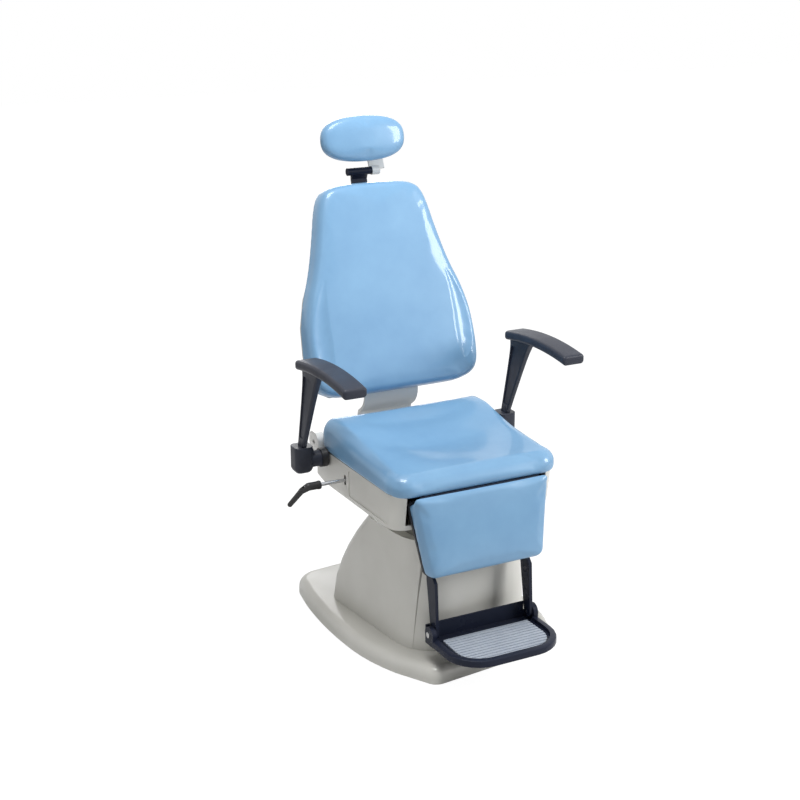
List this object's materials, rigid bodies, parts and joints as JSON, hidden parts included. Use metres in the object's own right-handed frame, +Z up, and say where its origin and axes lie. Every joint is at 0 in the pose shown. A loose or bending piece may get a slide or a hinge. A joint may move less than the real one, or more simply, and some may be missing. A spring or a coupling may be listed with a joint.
{
  "type": "ear nose and throat chair",
  "caption": "Medical examination chair on a covered lifting column, with a swivelling seat, reclining backrest, adjustable headrest, flip-back arms and a rising legrest with a footplate.",
  "frame": {"origin": "on the floor, on the vertical axis that the seat swivels about", "axes": "+Z up, the sitter faces -Y, +X is the side to the right of someone who looks at the chair's front"},
  "size_m": [0.7754, 0.962, 1.4026],
  "materials": {
    "cover_plastic": "smooth moulded covers with a soft gloss",
    "inner_plastic": "darker moulded inner cover",
    "blue_vinyl": "glossy light blue upholstery vinyl over foam",
    "dark_polymer": "satin blue-grey moulded plastic",
    "dark_paint": "satin blue-grey paint on steel",
    "white_paint": "smooth near-white paint on steel",
    "frame_paint": "grey paint on welded steel",
    "steel": "bare machined steel",
    "chrome_steel": "bright plated steel",
    "black_plastic": "black moulded plastic",
    "mat_rubber": "grey-blue ribbed rubber",
    "plywood": "bare plywood",
    "dark_board": "board with a dark edge",
    "guide_polymer": "ivory bearing plastic"
  },
  "bodies": {
    "base": {"base_frame": "frame_paint", "base_cover": "cover_plastic", "column_front_cover": "cover_plastic", "column_left_cover": "cover_plastic", "column_right_cover": "cover_plastic", "column_rear_cover": "cover_plastic", "mast_outer": "frame_paint", "mast_guide": "guide_polymer", "lift_actuator": "dark_paint", "lift_motor": "frame_paint", "power_inlet": "black_plastic"},
    "lift": {"mast_inner": "steel", "lift_rod": "chrome_steel", "lift_plate": "frame_paint", "bearing_lower": "steel", "inner_column_cover": "inner_plastic"},
    "seat": {"bearing_upper": "steel", "swivel_spindle": "steel", "seat_frame": "frame_paint", "seat_shell": "cover_plastic", "seat_board": "plywood", "seat_cushion": "blue_vinyl", "backrest_lugs": "white_paint", "backrest_pins": "steel", "arm_pins": "steel", "arm_discs": "black_plastic", "clamp_block": "steel", "legrest_fixed_leaf": "dark_paint"},
    "backrest": {"backrest_bracket": "white_paint", "backrest_shell": "cover_plastic", "backrest_board": "plywood", "backrest_cushion": "blue_vinyl", "headrest_receiver": "dark_paint"},
    "headrest_carrier": {"headrest_bar": "dark_paint"},
    "headrest_arm": {"headrest_link": "white_paint", "headrest_pins": "steel"},
    "headrest": {"headrest_bracket": "steel", "headrest_cushion": "blue_vinyl"},
    "legrest": {"legrest_moving_leaf": "dark_paint", "legrest_board": "dark_board", "legrest_lugs": "steel", "legrest_cushion": "blue_vinyl", "leg_left": "dark_paint", "leg_right": "dark_paint", "leg_bolts": "chrome_steel"},
    "footplate": {"footplate_frame": "dark_paint", "footplate_mat": "mat_rubber", "footplate_bolts": "chrome_steel"},
    "linkage": {"link_rod": "steel"},
    "clamp_lever": {"clamp_shaft": "chrome_steel", "clamp_handle": "black_plastic", "clamp_screw": "chrome_steel"},
    "arm_left": {"arm_socket_left": "dark_polymer", "arm_post_left": "dark_polymer", "arm_pad_left": "dark_polymer"},
    "arm_right": {"arm_socket_right": "dark_polymer", "arm_post_right": "dark_polymer", "arm_pad_right": "dark_polymer"}
  },
  "joints": [
    {"name": "seat_lift", "type": "slide", "parent": "base", "child": "lift", "axis": [0, 0, 1], "range_m": [0, 0.18]},
    {"name": "seat_swivel", "type": "hinge", "parent": "lift", "child": "seat", "pos_m": [0, 0, 0.409], "axis": [0, 0, 1], "range_deg": [-84, 96]},
    {"name": "backrest_recline", "type": "hinge", "parent": "seat", "child": "backrest", "pos_m": [0, 0.212, 0.526], "axis": [-1, 0, 0], "range_deg": [0, 65]},
    {"name": "headrest_raise", "type": "slide", "parent": "backrest", "child": "headrest_carrier", "axis": [0, 0.3206, 0.9472], "range_m": [0, 0.12]},
    {"name": "headrest_swing", "type": "hinge", "parent": "headrest_carrier", "child": "headrest_arm", "pos_m": [0, 0.44, 1.243], "axis": [-1, 0, 0], "range_deg": [-25, 35]},
    {"name": "headrest_tilt", "type": "hinge", "parent": "headrest_arm", "child": "headrest", "pos_m": [0, 0.47, 1.318], "axis": [-1, 0, 0], "range_deg": [-25, 30]},
    {"name": "legrest_raise", "type": "hinge", "parent": "seat", "child": "legrest", "pos_m": [0, -0.276, 0.511], "axis": [-1, 0, 0], "range_deg": [0, 75]},
    {"name": "footplate_fold", "type": "hinge", "parent": "legrest", "child": "footplate", "pos_m": [0, -0.298, 0.128], "axis": [-1, 0, 0], "range_deg": [0, 70]},
    {"name": "linkage_push", "type": "slide", "parent": "seat", "child": "linkage", "axis": [0, -1, 0], "range_m": [0, 0.0545]},
    {"name": "clamp_turn", "type": "hinge", "parent": "seat", "child": "clamp_lever", "pos_m": [-0.3, 0.029, 0.471], "axis": [1, 0, 0], "range_deg": [-45, 60]},
    {"name": "arm_left_flip", "type": "hinge", "parent": "seat", "child": "arm_left", "pos_m": [-0.29, 0.143, 0.504], "axis": [-1, 0, 0], "range_deg": [0, 90]},
    {"name": "arm_right_flip", "type": "hinge", "parent": "seat", "child": "arm_right", "pos_m": [0.29, 0.143, 0.504], "axis": [-1, 0, 0], "range_deg": [0, 90]}
  ],
  "couplings": [
    {"joint": "legrest_raise", "follows": "backrest_recline", "ratio": 1.1538},
    {"joint": "linkage_push", "follows": "backrest_recline", "m_per_rad": 0.0474}
  ]
}
